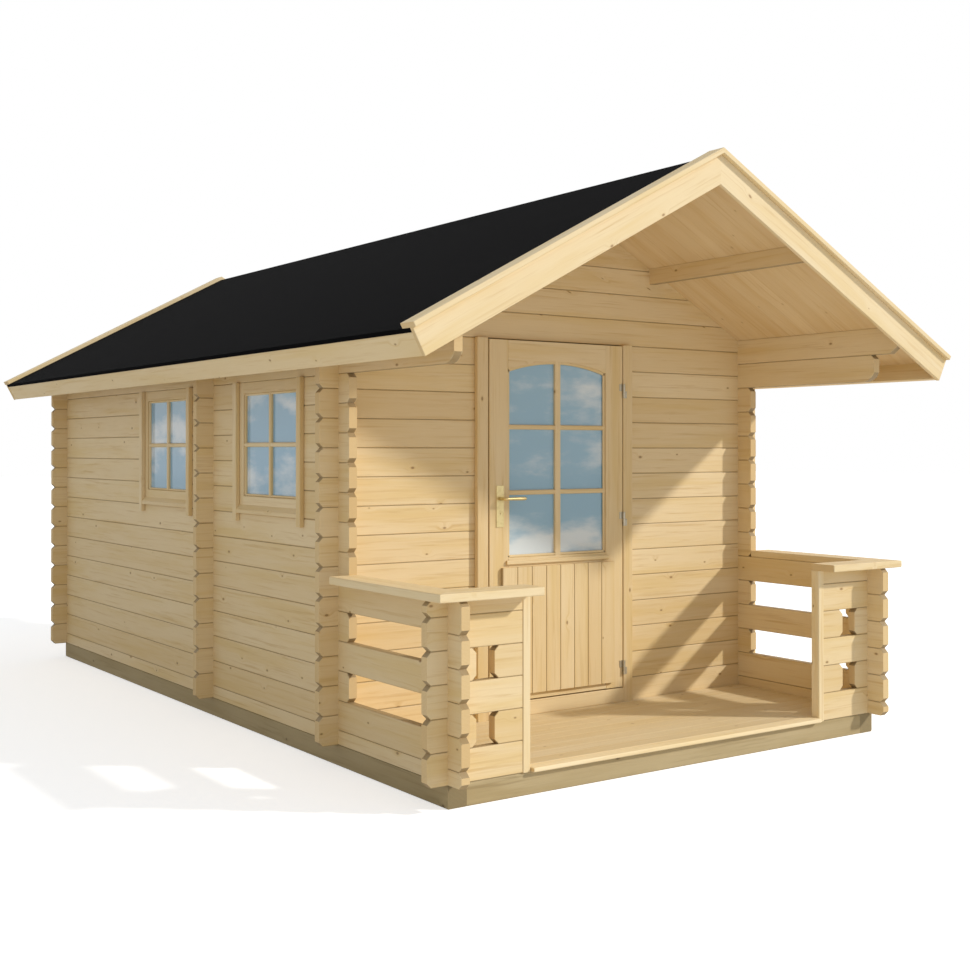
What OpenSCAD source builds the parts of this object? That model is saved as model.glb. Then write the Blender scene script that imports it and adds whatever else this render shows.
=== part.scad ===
// Garden sauna: a log cabin with two rooms behind a railed porch, under one gabled felt roof.
// +Z is up and the ground is Z = 0. X runs across the cabin and the porch looks along -Y.
// The origin lies on the ground under the middle of the roof.

/* [Logs] */
// Height of one course of logs
log_h = 133; // [110:1:160]
// Thickness of a log
log_t = 40; // [34:1:60]
// How far a log runs on past the wall it crosses
log_end = 97; // [70:1:120]
// Bevel on the top and bottom corners of a free log end
end_cut = 20; // [8:1:28]
// Depth of the V groove along each joint between logs
groove = 4; // [2:0.5:8]

/* [Cabin] */
// Width between the middles of the side walls
cabin_w = 2520; // [2200:10:3200]
// Depth of the porch, from its front rail to the front wall
porch_d = 890; // [700:10:1300]
// Depth of the front room, from the front wall to the partition
front_room_d = 1380; // [1150:10:2200]
// Depth of the back room, from the partition to the rear wall
back_room_d = 2460; // [1800:10:3600]
// Courses in the front wall up to the head of the door
door_courses = 14; // [14, 15]
// Height of the base timbers
base_h = 96; // [60:1:140]
// Width of the base timbers
base_w = 90; // [70:1:120]
// How far the base stands back from the faces of the logs
base_inset = 4; // [0:1:15]
// Thickness of the floor boards
floor_t = 18; // [15:1:28]
// How far the porch floor runs out past the base at the entrance
floor_nose = 26; // [5:1:45]

/* [Roof] */
// Pitch of the roof in degrees
pitch = 28; // [20:1:35]
// Overhang from the middle of the porch front rail to the front edge of the roof
front_overhang = 262; // [180:1:400]
// Overhang from the middle of the rear wall to the rear edge of the roof
rear_overhang = 409; // [200:1:600]
// Overhang from the middle of a side wall to the roof's outermost edge
eaves_overhang = 330; // [220:1:450]
// Thickness of the roof boards
deck_t = 18; // [15:1:28]
// Thickness of the roofing felt
felt_t = 3; // [2:0.5:6]
// How far the felt is folded down over the ends of the roof boards
felt_drop = 19; // [10:1:30]
// Thickness of the barge boards
barge_t = 20; // [16:1:32]
// Width of the barge boards
barge_w = 118; // [90:1:150]
// Thickness of the cover boards that lie on the edges of the roof
cover_t = 22; // [16:1:30]
// Width of the cover boards
cover_w = 95; // [70:1:130]
// How far a cover board stands out in front of its barge board
cover_nose = 22; // [5:1:35]
// Thickness of the eaves boards
eaves_t = 18; // [14:1:28]

/* [Porch rail] */
// Gap between two log ends in the front rail
rail_gap = 90; // [60:1:110]
// Clear width of the porch entrance
entry_w = 1750; // [900:10:1800]
// Width of an entrance post
post_w = 38; // [30:1:60]
// Depth of an entrance post
post_d = 48; // [42:1:80]
// Width of the handrail boards
handrail_w = 140; // [120:1:180]
// Thickness of the handrail boards
handrail_t = 34; // [24:1:45]

/* [Door] */
// Distance of the door's middle from the cabin's middle
door_x = -50; // [-200:5:100]
// Width of the door leaf
leaf_w = 842; // [700:1:900]
// Thickness of the door leaf
leaf_t = 40; // [36:1:50]
// Gap round the door leaf
leaf_gap = 6.5; // [6.5:0.5:9]
// Height of the door sill above the floor
door_sill_h = 72; // [40:1:100]
// Thickness of the door frame
frame_t = 24; // [20:1:35]
// How far the frame's stop covers the edge of the leaf
stop_lap = 15; // [10:1:20]
// Width of the casing beside the door
door_casing_w = 63; // [45:1:75]
// How far the door casing and the leaf stand out from the logs
door_proud = 28; // [20:1:32]
// Width of the stiles beside the door glass
stile_w = 112; // [95:1:135]
// Height of the door leaf below its glass
lower_h = 698; // [600:1:800]
// Height from the crown of the glass to the top of the leaf
top_rail_h = 95; // [70:1:140]
// Rise of the arched top of the door glass
arch_rise = 48; // [20:1:70]
// Thickness of the door glass
door_glass_t = 4; // [3:1:8]
// Width of the boarded panel on the lower part of the leaf
panel_w = 708; // [600:1:720]
// Height of the boarded panel
panel_h = 620; // [520:1:640]
// Thickness of the boarded panel
panel_t = 18; // [12:1:22]
// Height of the strip of leaf left bare under the boarded panel
panel_base = 32; // [15:1:45]

/* [Door fittings] */
// Height of the lever's spindle above the bottom of the leaf
lever_z = 987; // [900:1:1050]
// Distance of the spindle from the free edge of the leaf
lever_inset = 61; // [50:1:70]
// Length of the lever's grip from its spindle
lever_l = 124; // [100:1:140]
// Radius of the lever's grip
grip_r = 9; // [7:0.5:11]
// Radius of the lever's spindle
spindle_r = 5; // [4:0.5:6]
// How far the grip's middle stands off the leaf
lever_out = 48; // [38:1:58]
// Size of a lock plate: width, height, thickness
lock_plate = [44, 202, 3];
// Height of the lever's spindle above the middle of its plate
plate_drop = 37; // [10:1:60]
// Radius of a hinge knuckle
knuckle_r = 7; // [6:0.5:9]
// Length of one hinge, both knuckles together
hinge_l = 72; // [50:1:100]
// Radius of a hinge pin
hinge_pin_r = 4; // [3:0.5:4.5]

/* [Windows] */
// Width of a window opening in the logs
win_w = 680; // [500:10:740]
// Distance of the front window's middle from the front wall
front_win_y = 690; // [560:5:800]
// Distance of the back window's middle from the partition
back_win_y = 640; // [560:5:1200]
// Courses from the middle of the first log to the window's lower edge
win_sill_course = 7; // [5, 6, 7, 8]
// Width of the window frame's sides
win_side = 45; // [35:1:60]
// Height of the window frame's head
win_head = 56; // [40:1:70]
// Height of the window frame's foot
win_foot = 88; // [60:1:100]
// Width of the casing beside a window
win_casing_w = 42; // [35:1:60]
// How far a window casing stands out from the logs
win_proud = 24; // [15:1:32]
// How far a casing runs down past the opening
casing_drop = 40; // [20:1:60]
// Height of the window's sloping sill
win_sill_h = 44; // [25:1:60]
// Thickness of the window glass
win_glass_t = 4; // [3:1:8]

/* [Partition] */
// Clear width of the doorway between the two rooms
inner_door_w = 640; // [560:10:900]

/* [Purlins] */
// Distance of a side purlin's middle from the cabin's middle
purlin_x = 604; // [450:5:800]
// Depth of the ridge purlin under the roof boards
ridge_depth = 95; // [80:1:110]

/* [Hidden] */
$fn = 48;
fit_gap = 0.5;      // clearance round panes and the spindle
pin_gap = 0.08;     // running clearance of a hinge pin
floor_gap = 3;      // clearance between floor boards and logs
seam = 0.02;        // keeps sloping faces that bear on each other from running into one another

// Heights of the courses
function full_levels(a, b) = [for (k = [a:b]) base_h + k * log_h];
function half_levels(a, b) = [for (k = [a:b]) base_h + (k + 0.5) * log_h];
side_courses = door_courses - 2;                       // whole courses of a side wall under the eaves logs
door_head = base_h + door_courses * log_h;
win_foot_z = base_h + (win_sill_course + 0.5) * log_h;
win_head_z = base_h + (side_courses + 0.5) * log_h;
eaves_mid_z = win_head_z + log_h;
eaves_top_z = win_head_z + 2 * log_h;
rail_h = 5.5 * log_h;
rail_top = base_h + rail_h;
floor_z = base_h + floor_t;

// Places across the cabin (x) and along it (y)
half_t = log_t / 2;
side_x = cabin_w / 2;
inner_x = side_x - half_t;
outer_x = side_x + half_t;
tip_x = outer_x + log_end;
roof_l = front_overhang + porch_d + front_room_d + back_room_d + rear_overhang;
roof_y0 = -roof_l / 2;
roof_y1 = roof_l / 2;
rail_y = roof_y0 + front_overhang;
front_y = rail_y + porch_d;
part_y = front_y + front_room_d;
rear_y = part_y + back_room_d;
barge_back = cover_nose + barge_t;
deck_y0 = roof_y0 + barge_back;
deck_y1 = roof_y1 - barge_back;

// Roof planes. Heights at x = 0, and thicknesses measured square to the slope.
slope = tan(pitch);
under_ridge = eaves_top_z + inner_x * slope;
stack_t = deck_t + felt_t + cover_t;
cover_ridge = under_ridge + stack_t / cos(pitch);
roof_run = (side_x + eaves_overhang) / cos(pitch);     // length of a slope along the cover boards
function roof_z(x) = under_ridge - abs(x) * slope;

// Door
door_half = leaf_w / 2 + leaf_gap;
opening_half = door_half + frame_t;
wall_face = front_y - half_t;                          // outer face of the front wall
leaf_face = wall_face - door_proud;
leaf_back = leaf_face + leaf_t;
leaf_z0 = floor_z + door_sill_h + leaf_gap;
leaf_z1 = door_head - leaf_gap;
leaf_x0 = door_x - leaf_w / 2;
leaf_x1 = door_x + leaf_w / 2;
glass_half = leaf_w / 2 - stile_w;
glass_z0 = leaf_z0 + lower_h;
glass_z1 = leaf_z1 - top_rail_h;
arch_r = (glass_half * glass_half + arch_rise * arch_rise) / (2 * arch_rise);
glass_lap = 8;                                         // how deep the pane sits in its groove
hinge_x = leaf_x1 + leaf_gap / 2;
hinge_y = leaf_face - knuckle_r - 1;
hinge_zs = [leaf_z0 + 100, leaf_z0 + 867, leaf_z0 + 1527];
knuckle_gap = 1;
hinge_leaf = [22, 2];                                  // width and thickness of a hinge plate
spindle_x = leaf_x0 + lever_inset;
spindle_z = leaf_z0 + lever_z;
plate_z = spindle_z - plate_drop;
key_r = 4;
key_drop = 72;                                         // keyhole below the spindle

// Windows, on the left wall
win_ys = [front_y + front_win_y, part_y + back_win_y];
left_face = -outer_x;
pane_half = win_w / 2 - win_side;
pane_lap = 8;

BASE = "rosybrown";
WOOD = "burlywood";
PALE = "wheat";
FELT = "darkslategray";
PANE = "lightblue";
STEEL = "gainsboro";

// ---------------------------------------------------------------- logs

// One edge of a stack of logs: upright at x, with each log's corners cut back by c towards `dir`
function log_edge(zs, x, c, dir) = [for (i = [0:len(zs) - 2])
    each (c > 0
        ? [[x + dir * c, zs[i]], [x, zs[i] + c], [x, zs[i + 1] - c],
           if (i == len(zs) - 2) [x + dir * c, zs[i + 1]]]
        : [if (i == 0) [x, zs[i]], if (i == len(zs) - 2) [x, zs[i + 1]]])];
function reversed(a) = [for (i = [len(a) - 1:-1:0]) a[i]];

// A stack of logs along X from x0 to x1, standing on y = 0, with joints at the heights zs
module log_stack(zs, x0, x1, cut0 = end_cut, cut1 = end_cut) {
    side = concat(log_edge(zs, x0, cut0, 1), reversed(log_edge(zs, x1, cut1, -1)));
    section = concat(log_edge(zs, -half_t, groove, 1), reversed(log_edge(zs, half_t, groove, -1)));
    intersection() {
        rotate([90, 0, 0]) linear_extrude(height = 2 * log_t, center = true) polygon(side);
        translate([x0 - 1, 0, 0]) rotate([90, 0, 90])
            linear_extrude(height = x1 - x0 + 2) polygon(section);
    }
}

// The same stack along Y at x = at
module log_stack_y(zs, y0, y1, at, cut0 = end_cut, cut1 = end_cut) {
    translate([at, 0, 0]) rotate([0, 0, 90]) log_stack(zs, y0, y1, cut0, cut1);
}

// Where logs along Y pass through a wall along X at y = at: a half course round each joint
module cuts_for_y_logs(at, top) {
    for (x = [-side_x, side_x], k = [0:floor((top - base_h) / log_h + 0.25)])
        translate([x - half_t, at - log_t, base_h + (k - 0.25) * log_h])
            cube([log_t, 2 * log_t, k == door_courses ? 2 * log_h : log_h / 2]);
}

// Where logs along X pass through a wall along Y at x = at
module cuts_for_x_logs(at, ys, bottom, top) {
    first = max(0, floor((bottom - base_h) / log_h - 0.75));
    for (y = ys, k = [first:door_courses - 1])
        if (base_h + (k + 0.25) * log_h < top)
            translate([at - log_t, y - half_t, base_h + (k + 0.25) * log_h])
                cube([2 * log_t, log_t, log_h / 2]);
}

// Everything above the underside of the roof boards
module above_roof(y0, y1) {
    x = side_x + 2 * eaves_overhang;
    top = under_ridge + 4 * log_h;
    translate([0, y1, 0]) rotate([90, 0, 0]) linear_extrude(height = y1 - y0)
        polygon([[-x, roof_z(x) - seam], [0, under_ridge - seam], [x, roof_z(x) - seam],
                 [x, top], [-x, top]]);
}

// The purlins, from the back of one barge board to the back of the other
module purlin(x, z0) {
    difference() {
        translate([x - half_t, deck_y0, z0]) cube([log_t, deck_y1 - deck_y0, under_ridge - z0]);
        above_roof(deck_y0 - 1, deck_y1 + 1);
    }
}
side_purlin_z = base_h + (floor((roof_z(purlin_x) - 40 - base_h) / log_h - 0.5) + 0.5) * log_h;
ridge_purlin_z = under_ridge - ridge_depth;
module ridge_purlin() color(WOOD) purlin(0, ridge_purlin_z);
module side_purlins() color(WOOD) for (side = [-1, 1]) purlin(side * purlin_x, side_purlin_z);

// A wall along X at y = at, from x0 to x1 and from course k0 to course k1, under the roof
module cross_wall(at, x0, x1, k0, k1, cut0 = end_cut, cut1 = end_cut) {
    difference() {
        translate([0, at, 0]) log_stack(full_levels(k0, k1), x0, x1, cut0, cut1);
        cuts_for_y_logs(at, base_h + k1 * log_h);
        above_roof(at - log_t, at + log_t);
    }
}
gable_courses = ceil((under_ridge - base_h) / log_h);

// The part of a cross wall above the door head. It stands between the eaves logs, round the purlins.
module gable(at) {
    difference() {
        cross_wall(at, -inner_x, inner_x, door_courses, gable_courses, 0, 0);
        for (p = [[0, ridge_purlin_z], [-purlin_x, side_purlin_z], [purlin_x, side_purlin_z]])
            translate([p[0] - half_t, at - log_t, p[1]]) cube([log_t, 2 * log_t, under_ridge]);
    }
}

// ---------------------------------------------------------------- base and floors

module base_side_timbers() color(BASE) {
    x = outer_x - base_inset;
    y0 = rail_y - half_t + base_inset;
    for (side = [-1, 1])
        translate([side * (x - base_w / 2) - base_w / 2, y0, 0])
            cube([base_w, rear_y + half_t - base_inset - y0, base_h]);
}

module base_cross_timbers() color(BASE) {
    x = outer_x - base_inset - base_w;
    first = rail_y - half_t + base_inset;
    last = rear_y + half_t - base_inset - base_w;
    ys = [first, front_y - base_w / 2, (front_y + part_y - base_w) / 2, part_y - base_w / 2,
          part_y + (last - part_y) / 3, part_y + (last - part_y) * 2 / 3, last];
    for (y = ys) translate([-x, y, 0]) cube([2 * x, base_w, base_h]);
}

module porch_floor() color(PALE) {
    x = inner_x - floor_gap;
    y0 = rail_y + post_d / 2 + floor_gap;
    y1 = wall_face - floor_gap;
    nose_x = entry_w / 2 - floor_gap;
    translate([-x, y0, base_h]) cube([2 * x, y1 - y0, floor_t]);
    nose_y = rail_y - half_t - floor_nose;
    translate([-nose_x, nose_y, base_h]) cube([2 * nose_x, y0 - nose_y + 1, floor_t]);
}

module room_floors() color(PALE) {
    x = inner_x - floor_gap;
    for (ends = [[front_y, part_y], [part_y, rear_y]])
        translate([-x, ends[0] + half_t + floor_gap, base_h])
            cube([2 * x, ends[1] - ends[0] - log_t - 2 * floor_gap, floor_t]);
}

// ---------------------------------------------------------------- walls

wall_tip = front_y - half_t - log_end;                 // front end of the side walls
wall_end = rear_y + half_t + log_end;

// A side wall under its two eaves logs. The logs that carry on as porch rails end square.
module side_wall(x) {
    rail_zs = half_levels(0, 5);
    difference() {
        union() {
            log_stack_y(concat([base_h], half_levels(0, side_courses)), wall_tip, wall_end, x);
            for (zs = [[base_h, rail_zs[0]], [rail_zs[0], rail_zs[1]],
                       [rail_zs[2], rail_zs[3]], [rail_zs[4], rail_zs[5]]])
                log_stack_y(zs, wall_tip, wall_tip + log_end, x, 0, 0);
        }
        cuts_for_x_logs(x, [front_y, part_y, rear_y], base_h, win_head_z);
    }
}

module left_wall() color(WOOD) difference() {
    side_wall(-side_x);
    for (y = win_ys)
        translate([-side_x - log_t, y - win_w / 2, win_foot_z])
            cube([2 * log_t, win_w, win_head_z - win_foot_z + 1]);
}
module right_wall() color(WOOD) side_wall(side_x);

// The two logs under the eaves. They run on over the porch as brackets for the roof.
eaves_tip = 65;            // lower log past the middle of the porch rail
eaves_rear = 205;          // lower log past the middle of the rear wall
bracket_cut = [60, 45];    // bevel under a bracket, along and up
module eaves_logs(x) {
    c = end_cut;
    y0 = rail_y - eaves_tip;
    y1 = rear_y + eaves_rear;
    b = bracket_cut;
    lower = [[y0 + b[0], win_head_z], [y0, win_head_z + b[1]], [y0, eaves_mid_z - c],
             [y0 + c, eaves_mid_z], [y1 - c, eaves_mid_z], [y1, eaves_mid_z - c],
             [y1, win_head_z + b[1]], [y1 - b[0], win_head_z]];
    upper = [[deck_y0 + b[0], eaves_mid_z], [deck_y0, eaves_mid_z + b[1]], [deck_y0, eaves_top_z],
             [deck_y1, eaves_top_z], [deck_y1, eaves_mid_z + b[1]], [deck_y1 - b[0], eaves_mid_z]];
    difference() {
        intersection() {
            union() for (outline = [lower, upper])
                translate([x, 0, 0]) rotate([90, 0, 90])
                    linear_extrude(height = log_t, center = true) polygon(outline);
            log_stack_y([win_head_z, eaves_mid_z, eaves_top_z], deck_y0 - 1, deck_y1 + 1, x, 0, 0);
        }
        cuts_for_x_logs(x, [front_y, part_y, rear_y], win_head_z, eaves_top_z);
        above_roof(deck_y0 - 2, deck_y1 + 2);
    }
}
module left_eaves_logs() color(WOOD) eaves_logs(-side_x);
module right_eaves_logs() color(WOOD) eaves_logs(side_x);

module rear_wall() color(WOOD) {
    cross_wall(rear_y, -tip_x, tip_x, 0, door_courses);
    gable(rear_y);
}

module front_wall_left() color(WOOD)
    cross_wall(front_y, -tip_x, door_x - opening_half, 0, door_courses, end_cut, 0);
module front_wall_right() color(WOOD)
    cross_wall(front_y, door_x + opening_half, tip_x, 0, door_courses, 0, end_cut);
module front_gable() color(WOOD) gable(front_y);

module partition_left() color(WOOD)
    cross_wall(part_y, -tip_x, door_x - inner_door_w / 2, 0, door_courses, end_cut, 0);
module partition_right() color(WOOD)
    cross_wall(part_y, door_x + inner_door_w / 2, tip_x, 0, door_courses, 0, end_cut);
module partition_gable() color(WOOD) gable(part_y);

// ---------------------------------------------------------------- porch rails

panel_end = entry_w / 2 + post_w;                      // where the front rail meets its post
stub_end = inner_x - log_end;                          // inner end of a short log at the corner

// The space between two log ends, a course high, that widens at their bevelled corners
module end_gap(x0, x1, z) {
    c = end_cut;
    rotate([90, 0, 0]) linear_extrude(height = 2 * log_t, center = true)
        polygon([[x0 - c, z], [x0, z + c], [x0, z + log_h - c], [x0 - c, z + log_h],
                 [x1 + c, z + log_h], [x1, z + log_h - c], [x1, z + c], [x1 + c, z]]);
}

module front_rail(side) {
    zs = concat(full_levels(0, 5), [rail_top]);
    difference() {
        translate([0, rail_y, 0])
            if (side < 0) log_stack(zs, -tip_x, -panel_end, end_cut, 0);
            else log_stack(zs, panel_end, tip_x, 0, end_cut);
        cuts_for_y_logs(rail_y, rail_top);
        for (k = [1, 3])
            translate([0, rail_y, 0])
                if (side < 0) end_gap(-stub_end, -stub_end + rail_gap, base_h + k * log_h);
                else end_gap(stub_end - rail_gap, stub_end, base_h + k * log_h);
    }
}
module left_front_rail() color(PALE) front_rail(-1);
module right_front_rail() color(PALE) front_rail(1);

module side_rail(x) {
    zs = concat([base_h], half_levels(0, 5));
    y0 = rail_y - half_t - log_end;
    gap_y0 = rail_y + half_t + log_end;
    difference() {
        log_stack_y(zs, y0, wall_tip, x, end_cut, 0);
        cuts_for_x_logs(x, [rail_y], base_h, rail_top);
        for (k = [1, 3])
            translate([x, 0, 0]) rotate([0, 0, 90])
                end_gap(gap_y0, wall_tip + 2 * end_cut, base_h + (k + 0.5) * log_h);
    }
}
module left_side_rail() color(PALE) side_rail(-side_x);
module right_side_rail() color(PALE) side_rail(side_x);

module entrance_posts() color(PALE) for (side = [-1, 1])
    translate([side * (entry_w + post_w) / 2 - post_w / 2, rail_y - post_d / 2, base_h])
        cube([post_w, post_d, rail_h]);

// An L of two boards on top of the rails, from the front wall's log ends round to the entrance
module handrail(side) {
    x1 = inner_x + handrail_w;
    y0 = rail_y + half_t - handrail_w;
    outline = [[entry_w / 2, y0], [x1, y0], [x1, wall_tip], [inner_x, wall_tip],
               [inner_x, rail_y + half_t], [entry_w / 2, rail_y + half_t]];
    points = [for (p = outline) [side * p[0], p[1]]];
    translate([0, 0, rail_top]) linear_extrude(height = handrail_t) polygon(points);
}
module left_handrail() color(PALE) handrail(-1);
module right_handrail() color(PALE) handrail(1);

// ---------------------------------------------------------------- roof

// A layer of the right slope between two depths under the cover boards' top face.
// Its ridge end is cut upright at x = 0 and its eaves end square to the slope at the length `run`.
function slope_point(l, n) = [l * cos(pitch) + n * sin(pitch), cover_ridge - l * sin(pitch) + n * cos(pitch)];
function layer(top, bottom, run, start = 0) =
    let (n1 = -top, n0 = seam - bottom)
    [slope_point(start > 0 ? start + seam : -n1 * slope, n1), slope_point(run, n1),
     slope_point(run, n0), slope_point(start > 0 ? start + seam : -n0 * slope, n0)];

module roof_layer(side, points, y0, y1) {
    translate([0, y1, 0]) rotate([90, 0, 0]) linear_extrude(height = y1 - y0)
        polygon([for (p = points) [side * p[0], p[1]]]);
}

felt_top = cover_t;
felt_bottom = cover_t + felt_t;
deck_run = roof_run - felt_t - eaves_t;

module roof_boards(side)
    roof_layer(side, layer(felt_bottom, stack_t, deck_run), deck_y0, deck_y1);
module left_roof_boards() color(PALE) roof_boards(-1);
module right_roof_boards() color(PALE) roof_boards(1);

module roofing_felt() color(FELT) for (side = [-1, 1]) {
    roof_layer(side, layer(felt_top, felt_bottom, roof_run), deck_y0, deck_y1);
    roof_layer(side, layer(felt_top, felt_top + felt_drop, roof_run, roof_run - felt_t), deck_y0, deck_y1);
}

module eaves_boards() color(PALE) for (side = [-1, 1])
    roof_layer(side, layer(felt_bottom, cover_t + barge_w, roof_run - felt_t, deck_run), deck_y0, deck_y1);

module barge_boards(y0) for (side = [-1, 1])
    roof_layer(side, layer(cover_t, cover_t + barge_w, roof_run), y0, y0 + barge_t);
module front_barge_boards() color(PALE) barge_boards(roof_y0 + cover_nose);
module rear_barge_boards() color(PALE) barge_boards(deck_y1);

module cover_boards(y0) for (side = [-1, 1])
    roof_layer(side, layer(0, cover_t, roof_run), y0, y0 + cover_w);
module front_cover_boards() color(PALE) cover_boards(roof_y0);
module rear_cover_boards() color(PALE) cover_boards(roof_y1 - cover_w);

// ---------------------------------------------------------------- windows

// A block in a window's own terms: from depth d0 to d1 measured in from the outer face of the logs
module win_block(y, d0, d1, half, z0, z1) {
    translate([left_face + d0, y - half, z0]) cube([d1 - d0, 2 * half, z1 - z0]);
}
pane_z0 = win_foot_z + win_foot;
pane_z1 = win_head_z - win_head;
pane_d = [(log_t - win_glass_t) / 2, (log_t + win_glass_t) / 2];

module window_frames() color(WOOD) for (y = win_ys) difference() {
    win_block(y, 0, log_t, win_w / 2, win_foot_z, win_head_z);
    win_block(y, -1, log_t + 1, pane_half, pane_z0, pane_z1);
    win_block(y, pane_d[0] - fit_gap, pane_d[1] + fit_gap, pane_half + pane_lap + fit_gap,
              pane_z0 - pane_lap - fit_gap, pane_z1 + pane_lap + fit_gap);
}

module window_glass() color(PANE, 0.4) for (y = win_ys)
    win_block(y, pane_d[0], pane_d[1], pane_half + pane_lap, pane_z0 - pane_lap, pane_z1 + pane_lap);

module window_casings() color(WOOD) for (y = win_ys) {
    inner = win_w / 2 - 4;
    for (side = [-1, 1])
        win_block(y + side * (inner + win_casing_w / 2), -win_proud, 0, win_casing_w / 2,
                  win_foot_z - casing_drop, win_head_z);
    // sill between the casings, its top sloped to shed water
    translate([left_face, y + inner + 1, win_foot_z]) rotate([90, 0, 0])
        linear_extrude(height = 2 * inner + 2)
            polygon([[0, 0], [0, win_sill_h], [-win_proud * 0.9, win_sill_h / 2], [-win_proud * 0.9, 0]]);
}

// ---------------------------------------------------------------- door

stop_y = leaf_back + leaf_gap;
frame_back = front_y + half_t;
module door_frame() color(PALE) difference() {
    translate([door_x - opening_half, wall_face, base_h])
        cube([2 * opening_half, log_t, door_head - base_h]);
    // room for the leaf
    translate([door_x - door_half, wall_face - 1, base_h - 1])
        cube([2 * door_half, stop_y - wall_face + 1, door_head + 2]);
    // way through, inside the stops
    translate([door_x - door_half + stop_lap, wall_face - 1, base_h - 1])
        cube([2 * (door_half - stop_lap), log_t + 2, door_head - stop_lap - leaf_gap - base_h + 1]);
    // seat of the sill
    translate([door_x - door_half, wall_face - 1, base_h - 1])
        cube([2 * door_half, log_t + 2, floor_z + door_sill_h - base_h + 1]);
}

module door_casings() color(PALE) for (side = [-1, 1])
    translate([door_x + side * (door_half + door_casing_w / 2) - door_casing_w / 2, leaf_face, floor_z])
        cube([door_casing_w, door_proud, door_head - floor_z]);

module door_sill() color(PALE) {
    translate([door_x - door_half, leaf_face, floor_z])
        cube([2 * door_half, door_proud + log_t, door_sill_h]);
    translate([door_x - door_half, wall_face, base_h])
        cube([2 * door_half, log_t, floor_t + 1]);
}

// The arched shape of the door glass, grown by e all round, from y0 to y1
module arched_light(e, y0, y1) {
    intersection() {
        translate([door_x - glass_half - e, y0, glass_z0 - e])
            cube([2 * (glass_half + e), y1 - y0, glass_z1 - glass_z0 + 2 * e]);
        translate([door_x, y1 + 1, glass_z1 - arch_r]) rotate([90, 0, 0])
            cylinder(r = arch_r + e, h = y1 - y0 + 2, $fn = 180);
    }
}

pane_y = leaf_face + (leaf_t - door_glass_t) / 2;
module door_leaf() color(PALE) difference() {
    translate([leaf_x0, leaf_face, leaf_z0]) cube([leaf_w, leaf_t, leaf_z1 - leaf_z0]);
    arched_light(0, leaf_face - 1, leaf_back + 1);
    arched_light(glass_lap + fit_gap, pane_y - fit_gap, pane_y + door_glass_t + fit_gap);
    translate([spindle_x, leaf_face - 1, spindle_z]) rotate([-90, 0, 0])
        cylinder(r = spindle_r + fit_gap, h = leaf_t + 2);
    translate([spindle_x, leaf_face - 1, spindle_z - key_drop]) rotate([-90, 0, 0])
        cylinder(r = key_r, h = leaf_t + 2);
}

module door_glass() color(PANE, 0.4) arched_light(glass_lap, pane_y, pane_y + door_glass_t);

module door_panel() color(PALE)
    translate([door_x - panel_w / 2, leaf_face - panel_t, leaf_z0 + panel_base])
        cube([panel_w, panel_t, panel_h]);

module lock_plates() color(STEEL) for (y = [leaf_face - lock_plate[2], leaf_back]) difference() {
    translate([spindle_x - lock_plate[0] / 2, y, plate_z - lock_plate[1] / 2])
        cube([lock_plate[0], lock_plate[2], lock_plate[1]]);
    translate([spindle_x, y - 1, spindle_z]) rotate([-90, 0, 0])
        cylinder(r = spindle_r + fit_gap, h = lock_plate[2] + 2);
    translate([spindle_x, y - 1, spindle_z - key_drop]) rotate([-90, 0, 0])
        cylinder(r = key_r, h = lock_plate[2] + 2);
}

module door_lever() color(STEEL) {
    y0 = leaf_face - lever_out;
    y1 = leaf_back + lever_out;
    translate([spindle_x, y0, spindle_z]) rotate([-90, 0, 0]) cylinder(r = spindle_r, h = y1 - y0);
    for (y = [y0, y1])
        translate([spindle_x - grip_r, y, spindle_z]) rotate([0, 90, 0])
            cylinder(r = grip_r, h = lever_l + grip_r);
}

// One half of a hinge: a knuckle and the plate that screws to the wood beside it
module hinge_half(z0, z1, dir) {
    translate([hinge_x, hinge_y, z0]) cylinder(r = knuckle_r, h = z1 - z0);
    edge = leaf_gap / 2;
    translate([hinge_x + (dir > 0 ? edge : -edge - hinge_leaf[0]), leaf_face - hinge_leaf[1], z0])
        cube([hinge_leaf[0], hinge_leaf[1], z1 - z0]);
}

module hinge_pins() color(STEEL) for (z = hinge_zs) {
    hinge_half(z - hinge_l / 2, z - knuckle_gap / 2, 1);
    translate([hinge_x, hinge_y, z - knuckle_gap / 2 - 1])
        cylinder(r = hinge_pin_r, h = hinge_l / 2 - 3);
}

module hinge_barrels() color(STEEL) for (z = hinge_zs) difference() {
    hinge_half(z + knuckle_gap / 2, z + hinge_l / 2, -1);
    translate([hinge_x, hinge_y, z - 1])
        cylinder(r = hinge_pin_r + pin_gap, h = hinge_l / 2 - 3);
}

// ---------------------------------------------------------------- the pieces

base_side_timbers();
base_cross_timbers();
porch_floor();
room_floors();
left_wall();
right_wall();
left_eaves_logs();
right_eaves_logs();
rear_wall();
front_wall_left();
front_wall_right();
front_gable();
partition_left();
partition_right();
partition_gable();
left_side_rail();
right_side_rail();
left_front_rail();
right_front_rail();
entrance_posts();
left_handrail();
right_handrail();
ridge_purlin();
side_purlins();
left_roof_boards();
right_roof_boards();
roofing_felt();
front_barge_boards();
rear_barge_boards();
front_cover_boards();
rear_cover_boards();
eaves_boards();
window_frames();
window_casings();
window_glass();
door_frame();
door_casings();
door_sill();
hinge_pins();
door_leaf();
door_panel();
door_glass();
hinge_barrels();
lock_plates();
door_lever();
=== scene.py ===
# %% [markdown]
# # A garden sauna, log by log
# The cabin is a stack of planed logs with crossed corners, a railed porch, a gabled roof covered in felt,
# one glazed door and two small windows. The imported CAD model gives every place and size. Here each wall is
# taken apart into its own logs and boards, so that every one has its own grain, tone and bevelled edges.

# %% Load the frame
import math
import random

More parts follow.
